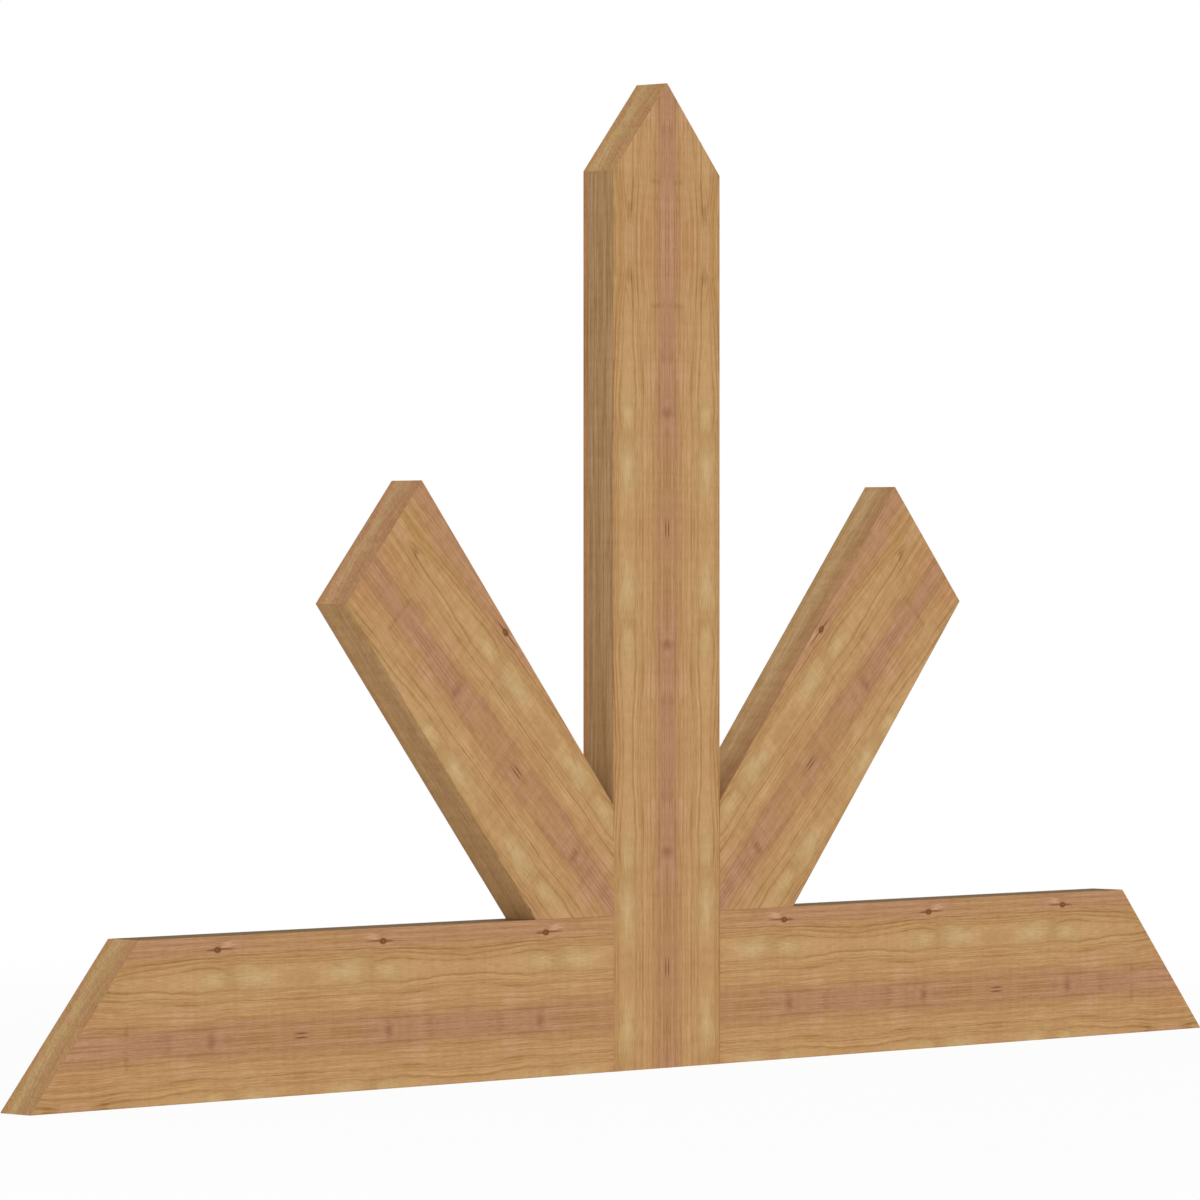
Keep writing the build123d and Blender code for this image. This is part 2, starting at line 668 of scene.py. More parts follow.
@dataclass(frozen=True)
class WoodShading:
    """How bare cedar takes light.

    Attributes:
        roughness: The mean roughness.
        roughness_swing: How much smoother the hard courses are.
        specular: The specular level of dry bare wood.
        bump_depth: The height that the bump map stands for, in metres.
    """
    roughness: float = 0.72
    roughness_swing: float = 0.12
    specular: float = 0.07
    bump_depth: float = 0.00012

    def finish(self, colour: Socket, hardness: Wire, height: Wire) -> None:
        """Ends a tree with the wood's surface.

        Args:
            colour: The wood's colour.
            hardness: From 0 in soft early wood to 1 on a hard course.
            height: The fine relief, as a share of the bump map's height.
        """
        bench = height.bench
        bump = bench.add("ShaderNodeBump", {"Height": height, "Strength": 1.0, "Distance": self.bump_depth})
        surface = bench.add("ShaderNodeBsdfPrincipled", {
            "Base Color": colour, "Specular IOR Level": self.specular, "Normal": bump.outputs[0],
            "Roughness": hardness.eased(0, 1, self.roughness, self.roughness - self.roughness_swing)})
        bench.add("ShaderNodeOutputMaterial", {"Surface": surface.outputs[0]})


@dataclass(frozen=True)
class EdgeTones:
    """The tones of a board's narrow long sides, from the front to the back.

    Attributes:
        upper: The side above the heart line. On the chord it is the top face, whose dark tones are painted
            shade.
        lower: The side below it.
        line_gain: How many times as strong the fine lines are there as on the faces.
    """
    upper: Stops
    lower: Stops
    line_gain: float = 1.0


POST_SIDE: Stops = ((0, (177, 143, 99)), (3, (185, 149, 107)), (19, (181, 144, 103)), (27.5, (183, 149, 107)),
                    (28.7, (164, 138, 118)), (30, (183, 145, 106)), (31.5, (188, 139, 94)),
                    (38.1, (182, 133, 86)))
POST_EDGES = EdgeTones(POST_SIDE, POST_SIDE, 1.3)
# The chord's upper tones paint its top face dark brown: painted shade, which stands in for the little light
# that reaches the top.
CHORD_EDGES_WITH_PAINTED_TOP_SHADE = EdgeTones(((0, (130, 101, 58)), (38.1, (124, 96, 55))),
                        ((0, (190, 147, 103)), (20, (188, 148, 103)), (38.1, (190, 143, 97))))
STRUT_EDGES = EdgeTones(((0, (186, 142, 103)), (12, (186, 146, 103)), (18, (195, 156, 112)),
                         (26, (203, 168, 124)), (30, (199, 161, 113)), (38.1, (188, 151, 106))),
                        ((0, (206, 165, 114)), (10, (200, 159, 113)), (18, (199, 157, 112)),
                         (28, (205, 164, 115)), (34, (197, 155, 108)), (38.1, (189, 149, 107))), 0.85)


@dataclass(frozen=True)
class PlanedFinish:
    """The planed long faces of a board, with the grain figure. Lengths are in millimetres.

    Attributes:
        name: The material's name.
        heart: Where the figure lies.
        sizes: The bracket's sizes.
        edges: The tones of the board's narrow sides, which on the chord's top are painted shade.
        shading: How the wood takes light.
        earlywood: What the soft wood between the fine lines multiplies the colour by.
        latewood: What a full-strength course multiplies the colour by.
        relief: How high courses, fine lines and fibres stand, as shares of the bump map's height.
        shiver: How the courses waver.
        breaks: Where they are stronger.
        course_floor: How strong they are elsewhere.
        course_side: The share of their strength that they keep on the narrow sides.
        inner_rings: How many fine lines lie between the heart line and the arch.
        outer_rings: How many lie beyond the arch.
        side_rings: How many there are in a millimetre of a narrow side.
        arch_ring: The count of lines within the arch, which has none of its own.
        arch_end: The count at which the arch has faded out.
        arch_share: The share of their strength that lines keep within the arch.
        rings: How the fine lines run, with one line for each millimetre of width.
        ring_contrast: How dark they are.
        fibres: The fibres.
        fibre_contrast: How dark they are.
        flecks: The short flecks.
        mottle: The broad mottling.
        ripple: The faint bars across the grain.
        marks: The planer's slanting marks on the narrow sides.
        slant: How far these run along the board for each millimetre of depth.
        drift: How the broad bands wander.
        swing: How the edges of bands and patches run out in streaks.
        patch_swing: How many times as far the patches swing, along the grain and across it.
        smudge_swing: How many times as far the smudges swing along the grain.
        skin: The depths between which a face turns into the narrow side.
    """
    name: str
    heart: HeartLine
    sizes: BracketSizes
    edges: EdgeTones
    shading: WoodShading = WoodShading()
    earlywood: Triple = (1.118, 1.162, 1.231)
    latewood: Triple = (0.74, 0.67, 0.54)
    relief: Triple = (0.4, 0.35, -0.25)
    shiver: Wander = Wander(55, 8, 2)
    breaks: Streaks = Streaks(32, 2.4, 0.3, 0.65, 0.4)
    course_floor: float = 0.72
    course_side: float = 0.35
    inner_rings: float = 30.0
    outer_rings: float = 18.5
    side_rings: float = 0.6
    arch_ring: float = -0.7
    arch_end: float = 0.4
    arch_share: float = 0.7
    rings: Streaks = Streaks(95, 1, 0.32, 0.72, detail=3)
    ring_contrast: float = 0.72
    fibres: Streaks = Streaks(15, 0.5, 0.3, 0.75)
    fibre_contrast: float = 0.45
    flecks: Streaks = Streaks(9, 1.3, 0.35, 0.75, 0.3)
    mottle: Streaks = Streaks(20, 11, 0.35, 0.7, 0.14, 3)
    ripple: Streaks = Streaks(6.5, 55, 0.4, 0.7, 0.12, 3)
    marks: Streaks = Streaks(3.2, 9, 0.35, 0.75, 0.12, 4, 0.7)
    slant: float = 0.9
    drift: Wander = Wander(38, 17, 10)
    swing: Wander = Wander(70, 2.2, 10, 3)
    patch_swing: Point = (2.4, 0.25)
    smudge_swing: float = 0.9
    skin: Point = (0.3, 0.8)

    def material(self) -> bpy.types.Material:
        """Builds the material with its node tree.

        Returns:
            The material.
        """
        material, bench = new_material(self.name)
        along, depth, across = bench.board_axes(self.heart, self.sizes.front)
        place, outward = self._unfold(along, depth, across)
        share = (place - FIGURE.first) / FIGURE.span
        on_side = self._on_side(depth)
        gain = self.edges.line_gain

        # The drawn courses waver, are stronger in places and are fainter on the narrow sides.
        courses = self._courses(share, outward + self.shiver.drawn(place, outward))
        courses = courses * (self.breaks.drawn(place, outward) + self.course_floor)
        courses = courses * (on_side * (self.course_side * gain - 1) + 1)

        # The fine lines follow the arch on the faces, and run level with the faces on the narrow sides.
        ring = self._ring(share, outward)
        ring = ring + on_side * (depth * self.side_rings - ring)
        rings = self.rings.drawn(place, ring) * (on_side * (gain - 1) + 1)
        rings = rings * ring.eased(self.arch_ring, self.arch_end, self.arch_share)
        fibres = self.fibres.drawn(place, outward + depth)
        around = across + depth
        marks = self.marks.drawn(along + depth * self.slant, depth) * on_side

        # Each mark stains the wood towards its late wood. The knot shows on the faces alone.
        colour = bench.blend(on_side, self._tones(place, outward, across), self._side_tones(across, depth))
        colour = bench.tint(1.0, colour, self.earlywood)
        for stain in (self.flecks.drawn(along, around), self.mottle.drawn(along, around),
                      self.ripple.drawn(along, across), marks, rings * self.ring_contrast,
                      fibres * self.fibre_contrast, courses):
            colour = bench.tint(stain, colour, self.latewood)
        knotted = bench.patches(colour, bench.combine(place, outward), FIGURE.knot)
        colour = bench.blend(on_side, knotted, colour)
        course_rise, ring_rise, fibre_rise = self.relief
        height = courses * course_rise + rings * ring_rise + fibres * fibre_rise
        self.shading.finish(colour, courses, height)
        return material

    def _unfold(self, along: Wire, depth: Wire, across: Wire) -> tuple[Wire, Wire]:
        """Finds the place in the figure, as GrainFigure.unfold does.

        Args:
            along: The distance along the grain.
            depth: The distance behind the front face.
            across: The distance across the grain.

        Returns:
            The places along the grain and out from the heart line.
        """
        leaning = along + depth * FIGURE.lean
        reversed_figure = abs(leaning - FIGURE.turn) + FIGURE.first
        spreading = abs(across) + depth * FIGURE.spread
        return leaning.folded(FIGURE.repeat).at_most(reversed_figure), spreading.folded(FIGURE.half_board)

    def _strength(self, share: Wire, points: Iterable[Point]) -> Wire:
        """Reads a value from 0 to 1 at a share of the figure, from points along the grain."""
        scaled = [((along - FIGURE.first) / FIGURE.span, value) for along, value in points]
        return share.bench.curve(share, scaled)

    def _line(self, share: Wire, points: Iterable[Point]) -> Wire:
        """Reads how far out a line lies at a share of the figure, from points along the grain."""
        scaled = [(along, outward / FIGURE.half_board) for along, outward in points]
        return self._strength(share, scaled) * FIGURE.half_board

    def _courses(self, share: Wire, outward: Wire) -> Wire:
        """Draws the dark courses.

        Args:
            share: The place along the figure, from 0 to 1.
            outward: The place out from the heart line.

        Returns:
            How dark they are, from 0 to 1.
        """
        darkness: Number = 0.0
        for course in FIGURE.courses:
            near = abs(outward - self._line(share, course.line)).eased(0, course.half_width, 1, 0)
            darkness = near * self._strength(share, course.strength) + darkness
        return darkness.at_most(1.0)

    def _ring(self, share: Wire, outward: Wire) -> Wire:
        """Counts the fine growth lines, which follow the arch near it and run straight away from it.

        Args:
            share: The place along the figure, from 0 to 1.
            outward: The place out from the heart line.

        Returns:
            The count, which grows both ways from the arch.
        """
        inner = self._line(share, FIGURE.arch_inner)
        outer = self._line(share, FIGURE.arch_outer)
        within = (inner - outward) / inner * self.inner_rings
        beyond = (outward - outer) / (FIGURE.half_board - outer) * self.outer_rings
        return within.at_least(beyond).at_least(self.arch_ring)

    def _tones(self, place: Wire, outward: Wire, across: Wire) -> Socket:
        """Lays the broad bands of tone and the soft patches.

        Args:
            place: The place along the figure.
            outward: The place out from the heart line.
            across: The distance across the grain, which the bands' wandering goes by.

        Returns:
            The colour.
        """
        bench = place.bench
        swing = self.swing.drawn(place, outward)
        wavering = outward + self.drift.drawn(place, across) + swing
        lengthwise, crosswise = self.patch_swing
        streaked = bench.combine(place + swing * lengthwise, outward + swing * crosswise)
        colour = bench.patches(bench.ramp(wavering, FIGURE.bands), streaked, FIGURE.patches)
        wandering = bench.combine(place + swing * self.smudge_swing, wavering)
        return bench.patches(colour, wandering, FIGURE.smudges)

    def _on_side(self, depth: Wire) -> Wire:
        """Tells the narrow sides from the faces.

        Args:
            depth: The distance behind the front face.

        Returns:
            A share of 1 between the front and the back, and otherwise 0.
        """
        shallow, deep = self.skin
        thick = self.sizes.thickness / MM
        return depth.eased(shallow, deep) * depth.eased(thick - deep, thick - shallow, 1, 0)

    def _side_tones(self, across: Wire, depth: Wire) -> Socket:
        """Colours the narrow sides.

        Args:
            across: The distance across the grain, above 0 on the upper side.
            depth: The distance behind the front face.

        Returns:
            The colour.
        """
        bench = depth.bench
        is_upper = bench.math("GREATER_THAN", across, 0.0)
        return bench.blend(is_upper, bench.ramp(depth, self.edges.lower), bench.ramp(depth, self.edges.upper))


@dataclass(frozen=True)
class SawnFinish:
    """The sawn ends, where the growth rings run nearly along the cut. Lengths are in millimetres.

    Attributes:
        name: The material's name.
        cut: The line that the end lies along, from its middle.
        sizes: The bracket's sizes.
        shading: How the wood takes light.
        ring_radius: The radius of the rings across the end.
        wander: How the rings wander.
        tone_wander: How many times as far the tones wander.
        rings: The rings.
        pores: The torn fibres.
        saw_marks: The saw's slanting marks.
        slant: How far these run along the cut for each millimetre of depth.
        relief: How high saw marks and torn fibres stand, as shares of the bump map's height.
        latewood: What a full-strength ring multiplies the colour by.
        edge_depth: How far behind the front the torn edge is darkest.
        edge_contrast: How dark it is there.
        blotches: The redder blotches.
        redness: How far the blotches lean to red, up to about 0.2.
        red_tint: What the redder blotches multiply the colour by.
        olive_levels: The levels of the blotches' noise between which the wood turns greener.
        olive_tint: What the greener blotches multiply the colour by.
        depth_tones_with_painted_light: The tones of the wood from the front to the back, partly its own tone
            and partly painted light.
    """
    name: str
    cut: HeartLine
    sizes: BracketSizes
    shading: WoodShading = WoodShading(roughness=0.85, roughness_swing=0.05, specular=0.06,
                                       bump_depth=0.00025)
    ring_radius: float = 420.0
    wander: Wander = Wander(60, 14, 5)
    tone_wander: float = 1.8
    rings: Streaks = Streaks(70, 1.6, 0.34, 0.7, 0.5, 3)
    pores: Streaks = Streaks(2.2, 1.1, 0.4, 0.75, 0.72, 3)
    saw_marks: Streaks = Streaks(3.2, 9, 0.35, 0.7, 0.4, 4, 0.7)
    slant: float = 0.83
    relief: Point = (0.4, -0.5)
    latewood: Triple = (0.72, 0.66, 0.56)
    edge_depth: float = 2.2
    edge_contrast: float = 0.2
    blotches: Streaks = Streaks(14, 9, 0.45, 0.7, 1, 4, 0.65)
    redness: float = 0.0
    red_tint: Triple = (1.0, 0.90, 0.93)
    olive_levels: Point = (0.55, 0.3)
    olive_tint: Triple = (0.98, 1.06, 0.90)
    # The end tones are partly painted light: they are lifted above the planed faces to stand in for the
    # stronger light on upward-facing ends.
    depth_tones_with_painted_light: Stops = (
        (0, (199, 156, 112)), (8, (197, 155, 111)), (14, (198, 157, 112)), (18, (203, 164, 119)),
        (24, (209, 173, 127)), (29, (209, 172, 125)), (32, (204, 160, 112)), (34.5, (199, 153, 103)),
        (38.1, (197, 161, 121)))

    def material(self) -> bpy.types.Material:
        """Builds the material with its node tree.

        Returns:
            The material.
        """
        material, bench = new_material(self.name)
        along, depth, _ = bench.board_axes(self.cut, self.sizes.front)
        wander = self.wander.drawn(along, depth)

        # The rings are shallow arcs of wide circles, which lie one behind the other.
        ring = along * along / (2 * self.ring_radius) + depth + wander
        rings = self.rings.level(along, ring)
        pores = self.pores.level(along, depth)
        saw_marks = self.saw_marks.level(along + depth * self.slant, depth)
        blotches = self.blotches.level(along, depth) + self.redness
        torn = abs(depth - self.edge_depth).eased(0, self.edge_depth, self.edge_contrast, 0)

        # The ramp lays the end tones, which hold painted light as well as the wood's own tone.
        colour = bench.ramp(depth + wander * self.tone_wander, self.depth_tones_with_painted_light)
        colour = bench.tint(self.blotches.marked(blotches), colour, self.red_tint)
        colour = bench.tint(blotches.eased(*self.olive_levels), colour, self.olive_tint)
        for stain in (self.rings.marked(rings), self.pores.marked(pores),
                      self.saw_marks.marked(saw_marks), torn):
            colour = bench.tint(stain, colour, self.latewood)
        mark_rise, pore_rise = self.relief
        hardness = rings.eased(self.rings.faint, self.rings.full)
        self.shading.finish(colour, hardness, saw_marks * mark_rise + pores * pore_rise)
        return material


def select_only(piece: bpy.types.Object) -> None:
    """Makes one object the active one and the only one selected.

    Args:
        piece: The object.
    """
    bpy.ops.object.select_all(action="DESELECT")
    piece.select_set(True)
    bpy.context.view_layer.objects.active = piece


def read_vectors(items: bpy.types.bpy_prop_collection, attribute: str) -> np.ndarray:
    """Reads a vector of each vertex or face of a mesh.

    Args:
        items: The mesh's vertices or polygons.
        attribute: The name of the vector.

    Returns:
        One row of x, y, z for each.
    """
    numbers = np.empty(len(items) * 3)
    items.foreach_get(attribute, numbers)
    return numbers.reshape(-1, 3)


def runs_along(edge: bmesh.types.BMEdge, direction: Vector) -> bool:
    """Says whether an edge is parallel to a direction."""
    span = edge.verts[1].co - edge.verts[0].co
    return abs(span.dot(direction)) > PARALLEL * span.length


@dataclass
class Board:
    """One planed board, modelled as it is made: a blank is eased along its corners, then sawn off.

    Attributes:
        node: The CAD node that it stands for.
        sizes: The bracket's sizes.
        start: One end of the blank's centre line, in metres.
        end: Its other end.
        width: Of the face that shows.
        cuts: Where it is sawn off.
        heart: Where its grain figure lies.
        split_point: A pointed end's corner, from which a line divides the faces along the board.
        arris_radius: How far its long corners are eased.
        arris_steps: Into how many faces each eased corner is divided.
        cell_along: About how long a face of the finished mesh is, along the board.
        cell_across: About how wide it is.
        most_parts: Into how many parts one division may cut an edge.
        grain_depth: How far the soft wood lies below the hard courses.
        fade: How far from an edge the relief fades out.
        smooth_angle: The angle up to which two faces are shaded as one, in radians.
        piece: The board's object, once it is modelled.
    """
    node: str
    sizes: BracketSizes
    start: Vector
    end: Vector
    width: float
    cuts: tuple[SawCut, ...]
    heart: HeartLine
    split_point: Vector | None = None
    arris_radius: float = 0.8 * MM
    arris_steps: int = 3
    cell_along: float = 5 * MM
    cell_across: float = 1.3 * MM
    most_parts: int = 60
    grain_depth: float = 0.07 * MM
    fade: float = 3 * MM
    smooth_angle: float = radians(30)
    piece: bpy.types.Object | None = field(default=None, init=False)

    @property
    def axis(self) -> Vector:
        """The direction of the board's length."""
        return (self.end - self.start).normalized()

    @property
    def across(self) -> Vector:
        """The direction of the board's width, in the plane of the front face."""
        return Vector((-self.axis.z, 0, self.axis.x))

    def model(self) -> bpy.types.Object:
        """Makes the board, step by step.

        Returns:
            Its object.
        """
        self._add_blank()
        self._ease_corners()
        self._saw_off()
        self._divide()
        self._raise_grain()
        return self.piece

    def dress(self, planed: PlanedFinish, sawn: SawnFinish) -> None:
        """Gives the long faces one finish and the sawn ends the other.

        Args:
            planed: The finish of the long faces.
            sawn: The finish of the ends.
        """
        mesh = self.piece.data
        mesh.materials.append(planed.material())
        mesh.materials.append(sawn.material())
        centres, normals = read_vectors(mesh.polygons, "center"), read_vectors(mesh.polygons, "normal")
        surfaces = np.full(len(centres), Surface.PLANED.value, dtype=np.int32)
        for cut in self.cuts:
            on_cut = (np.abs(cut.beyond(centres)) < TOUCH) & (normals @ np.array(cut.outward) > PARALLEL)
            surfaces[on_cut] = Surface.SAWN.value
        mesh.polygons.foreach_set("material_index", surfaces)

    def _add_blank(self) -> None:
        """Adds the square blank at its size and place."""
        bpy.ops.object.select_all(action="DESELECT")
        length = (self.end - self.start).length
        bpy.ops.mesh.primitive_cube_add(
            size=1, location=(self.start + self.end) / 2, rotation=(0, -atan2(self.axis.z, self.axis.x), 0),
            scale=(length, self.sizes.thickness, self.width))
        self.piece = bpy.context.object
        self.piece.name = self.piece.data.name = f"{self.node}_timber"
        bpy.ops.object.transform_apply(location=True, rotation=True, scale=True)

    def _select_edges(self, wanted: Callable[[bmesh.types.BMEdge], bool]) -> None:
        """Selects edges of the mesh in edit mode and nothing else.

        Args:
            wanted: Says of an edge whether it is selected.
        """
        bpy.ops.mesh.select_mode(type="EDGE")
        bpy.ops.mesh.select_all(action="DESELECT")
        mesh = bmesh.from_edit_mesh(self.piece.data)
        for edge in filter(wanted, mesh.edges):
            edge.select_set(True)
        bmesh.update_edit_mesh(self.piece.data)

    def _ease_corners(self) -> None:
        """Rounds the blank's four long corners."""
        bpy.ops.object.mode_set(mode="EDIT")
        self._select_edges(lambda edge: runs_along(edge, self.axis))
        bpy.ops.mesh.bevel(offset=self.arris_radius, segments=self.arris_steps, profile=0.5, affect="EDGES")

    def _saw_off(self) -> None:
        """Saws the ends off, leaves each cut closed, and splits the faces that have more than four sides."""
        for cut in self.cuts:
            bpy.ops.mesh.select_all(action="SELECT")
            bpy.ops.mesh.bisect(plane_co=cut.point, plane_no=cut.outward, use_fill=True, clear_outer=True)
        if self.split_point is not None:
            bpy.ops.mesh.select_all(action="SELECT")
            bpy.ops.mesh.bisect(plane_co=self.split_point, plane_no=self.across)

    def _divide(self) -> None:
        """Divides the long faces finely enough to carry the grain's relief."""
        length, thickness = (self.end - self.start).length, self.sizes.thickness
        halves = 1 if self.split_point is None else 2
        through = Vector((0, 1, 0))
        self._cut_edges(lambda edge: runs_along(edge, self.axis), length / self.cell_along)
        self._cut_edges(lambda edge: runs_along(edge, through) and edge.calc_length() > thickness / 2,
                        thickness / self.cell_across)
        self._cut_edges(self._crosses_face, self.width / halves / self.cell_across)
        bpy.ops.mesh.select_all(action="SELECT")
        bpy.ops.mesh.normals_make_consistent(inside=False)
        bpy.ops.object.mode_set(mode="OBJECT")

    def _crosses_face(self, edge: bmesh.types.BMEdge) -> bool:
        """Says whether an edge runs across the front or the back face."""
        flat = all(abs(abs(corner.co.y) - self.sizes.thickness / 2) < TOUCH for corner in edge.verts)
        return flat and not runs_along(edge, self.axis)

    def _cut_edges(self, wanted: Callable[[bmesh.types.BMEdge], bool], parts: float) -> None:
        """Divides edges of the mesh, in two goes where one would need too many cuts.

        Args:
            wanted: Says of an edge whether it is divided.
            parts: Into about how many parts.
        """
        coarse = ceil(parts / self.most_parts)
        for share in (coarse, ceil(parts / coarse)):
            if share > 1:
                self._select_edges(wanted)
                bpy.ops.mesh.subdivide(number_cuts=share - 1)

    def _raise_grain(self) -> None:
        """Sinks the soft wood between the courses a little, which leaves the hard courses proud."""
        places = read_vectors(self.piece.data.vertices, "co")
        along, across, depth = self.heart.board_axes(places, self.sizes.front)
        ridge = FIGURE.ridge(*FIGURE.unfold(along, across, depth))
        group = self.piece.vertex_groups.new(name="soft_wood")
        self._paint_weights(group, (1 - ridge) * self._inner_share(places))
        select_only(self.piece)
        bpy.ops.object.modifier_add(type="DISPLACE")
        sink = self.piece.modifiers[-1]
        sink.mid_level = 0
        sink.strength = -self.grain_depth
        sink.vertex_group = group.name
        bpy.ops.object.modifier_apply(modifier=sink.name)
        self.piece.vertex_groups.clear()
        bpy.ops.object.shade_smooth_by_angle(angle=self.smooth_angle)

    def _paint_weights(self, group: bpy.types.VertexGroup, weights: np.ndarray) -> None:
        """Gives each vertex its weight in a group.

        Args:
            group: The group.
            weights: One weight for each vertex, from 0 to 1.
        """
        mesh = bmesh.new()
        mesh.from_mesh(self.piece.data)
        layer = mesh.verts.layers.deform.verify()
        for vertex, weight in zip(mesh.verts, weights.tolist()):
            vertex[layer][group.index] = weight
        mesh.to_mesh(self.piece.data)
        mesh.free()

    def _inner_share(self, places: np.ndarray) -> np.ndarray:
        """Finds how far inside the edges of their face places lie.

        Args:
            places: One row of x, y, z for each place.

        Returns:
            A share from 0 at an edge to 1 where the relief is whole.
        """
        offset = places - np.array((self.start + self.end) / 2)
        inset_across = self.width / 2 - np.abs(offset @ np.array(self.across))
        inset_deep = self.sizes.thickness / 2 - np.abs(offset[:, 1])
        nearest = np.maximum(inset_across, inset_deep) - self.arris_radius
        for cut in self.cuts:
            nearest = np.minimum(nearest, -cut.beyond(places))
        return np.clip(nearest / self.fade, 0, 1)


def mirrored_copy(piece: bpy.types.Object, node: str) -> bpy.types.Object:
    """Copies a piece of the right half to the left half, with a mesh of its own.

    Args:
        piece: The piece.
        node: The CAD node that the copy stands for.

    Returns:
        The copy.
    """
    select_only(piece)
    bpy.ops.object.duplicate(linked=False)
    copy = bpy.context.object
    copy.name = copy.data.name = f"{node}_timber"
    bpy.ops.object.mode_set(mode="EDIT")
    bpy.ops.mesh.select_all(action="SELECT")
    bpy.ops.transform.resize(value=(-1, 1, 1), center_override=(0, 0, 0))
    bpy.ops.mesh.normals_make_consistent(inside=False)
    bpy.ops.object.mode_set(mode="OBJECT")
    return copy


def mount(piece: bpy.types.Object, node: str) -> None:
    """Puts a finished piece in the place of its CAD node and reports it.

    Args:
        piece: The piece.
        node: The node that it stands for.
    """
    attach(piece, "root")
    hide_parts(node)
    LOG.info("%s: %d faces, for %s", piece.name, len(piece.data.polygons), node)


@dataclass
class KingPost:
    """The upright board, square at the bottom and sawn to both slopes of the roof at its head.

    Attributes:
        sizes: The bracket's sizes.
        saw_allowance: Spare length of the blank past each end.
        figure_start: The height at which the grain figure starts.
    """
    sizes: BracketSizes
    saw_allowance: float = 25 * MM
    figure_start: float = 288.7 * MM

    def build(self) -> None:
        """Models the post and dresses it."""
        sizes = self.sizes
        foot, apex = Vector((0, 0, 0)), Vector((0, 0, sizes.height))
        spare = Vector((0, 0, self.saw_allowance))
        cuts = (SawCut(foot, Vector((0, 0, -1))), SawCut.rake(sizes, Side.RIGHT),
                SawCut.rake(sizes, Side.LEFT))
        heart = HeartLine((0, self.figure_start), pi / 2)
        board = Board("king_post", sizes, foot - spare, apex + spare, sizes.board_width, cuts, heart, apex)
        piece = board.model()
        head = HeartLine((sizes.post_side / 2, (sizes.height + sizes.shoulder_height) / 2), -sizes.rake_angle)
        board.dress(PlanedFinish("planed_cedar_post", heart, sizes, POST_EDGES),
                    SawnFinish("sawn_cedar_post", head, sizes))
        mount(piece, "king_post")


@dataclass
class BottomChord:
    """The two arms of the bottom chord, which butt against the post.

    Attributes:
        sizes: The bracket's sizes.
        saw_allowance: Spare length of the blank past each end.
        figure_start: How far from the middle of the post the grain figure starts.
        heart_height: The height of the heart line.
    """
    sizes: BracketSizes
    saw_allowance: float = 25 * MM
    figure_start: float = 257.0 * MM
    heart_height: float = 51.2 * MM

    def build(self) -> None:
        """Models the right arm, dresses it and copies it to the left."""
        sizes = self.sizes
        middle = sizes.chord_height / 2
        cuts = (SawCut(Vector((sizes.post_side, 0, 0)), Vector((-1, 0, 0))), SawCut.rake(sizes, Side.RIGHT))
        heart = HeartLine((self.figure_start, self.heart_height), 0)
        inner = Vector((sizes.post_side - self.saw_allowance, 0, middle))
        outer = Vector((sizes.half_width + self.saw_allowance, 0, middle))
        board = Board("chord_arm_right", sizes, inner, outer, sizes.chord_height, cuts, heart)
        piece = board.model()
        end = HeartLine(((sizes.half_width + sizes.chord_top_end) / 2, middle), -sizes.rake_angle)
        board.dress(PlanedFinish("planed_cedar_chord", heart, sizes, CHORD_EDGES_WITH_PAINTED_TOP_SHADE),
                    SawnFinish("sawn_cedar_chord", end, sizes))
        left = mirrored_copy(piece, "chord_arm_left")
        mount(piece, "chord_arm_right")
        mount(left, "chord_arm_left")


@dataclass
class StrutPair:
    """The two struts, whose pointed feet seat on the post's side and the chord's top.

    Attributes:
        sizes: The bracket's sizes.
        grain_angle: The direction of the grain, which isn't quite that of the strut.
        grain_lead: How far down the grain from the seat the figure starts.
        grain_offset: How far the heart line lies above the seat.
    """
    sizes: BracketSizes
    grain_angle: float = radians(45)
    grain_lead: float = 88.0 * MM
    grain_offset: float = 6.0 * MM

    def build(self) -> None:
        """Models the right strut, dresses it and copies it to the left."""
        sizes = self.sizes
        seat, aim = sizes.strut_seat, sizes.strut_aim
        corner = Vector((sizes.post_side, 0, sizes.chord_height))
        overrun = (aim - seat).normalized() * sizes.board_width
        cuts = (SawCut.rake(sizes, Side.RIGHT), SawCut(corner, Vector((-1, 0, 0))),
                SawCut(corner, Vector((0, 0, -1))))
        ahead, upward = cos(self.grain_angle), sin(self.grain_angle)
        heart = HeartLine((seat.x - self.grain_lead * ahead - self.grain_offset * upward,
                           seat.z - self.grain_lead * upward + self.grain_offset * ahead), self.grain_angle)
        board = Board("strut_right", sizes, seat - overrun, aim + overrun, sizes.board_width, cuts, heart,
                      corner)
        piece = board.model()
        end = HeartLine((aim.x, aim.z), -sizes.rake_angle)
        board.dress(self._planed(heart), SawnFinish("sawn_cedar_strut", end, sizes, redness=0.14,
                                                    red_tint=(0.95, 0.87, 0.95)))
        left = mirrored_copy(piece, "strut_left")
        mount(piece, "strut_right")
        mount(left, "strut_left")

    def _planed(self, heart: HeartLine) -> PlanedFinish:
        """Makes the struts' own planed finish, with fewer fine lines and bolder mottling.

        Args:
            heart: Where the figure lies.

        Returns:
            The finish.
        """
        return PlanedFinish(
            "planed_cedar_strut", heart, self.sizes, STRUT_EDGES, inner_rings=26.0, outer_rings=16.0,
            ring_contrast=0.6, mottle=replace(PlanedFinish.mottle, contrast=0.26),
            ripple=replace(PlanedFinish.ripple, contrast=0.22),
            marks=replace(PlanedFinish.marks, contrast=0.3), drift=replace(PlanedFinish.drift, reach=30.0))


